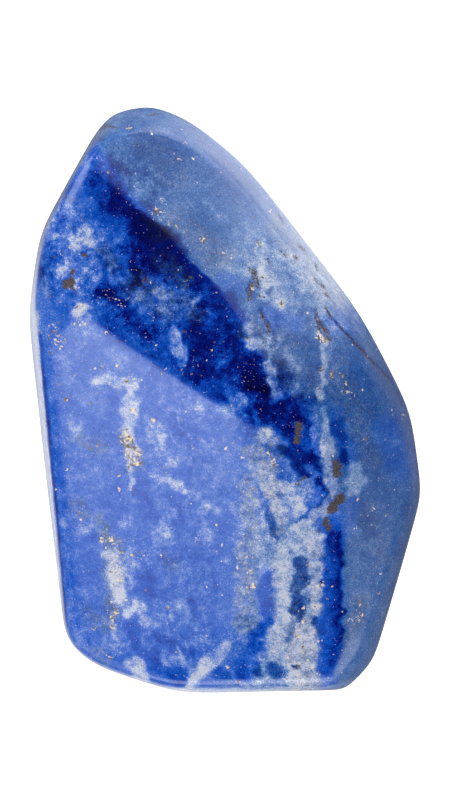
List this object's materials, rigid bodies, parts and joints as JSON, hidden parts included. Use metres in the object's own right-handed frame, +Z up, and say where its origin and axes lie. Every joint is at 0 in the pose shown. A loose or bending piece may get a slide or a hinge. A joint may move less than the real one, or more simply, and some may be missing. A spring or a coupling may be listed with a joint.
{
  "type": "tumbled lapis lazuli stone",
  "caption": "Polished lapis lazuli pebble with broad worn flats, white calcite veins and pyrite specks, lying on a small flat.",
  "frame": {"origin": "on the surface that the stone lies on, under the middle of its length and width", "axes": "+Z up, +Y along the longest side towards the narrow nose, +X across the stone towards its rounded right shoulder"},
  "size_m": [0.0234, 0.0352, 0.0122],
  "materials": {
    "lapis": "tumble-polished to a gloss, with a few matt pits"
  },
  "bodies": {
    "root": {"stone": "lapis"}
  },
  "joints": []
}
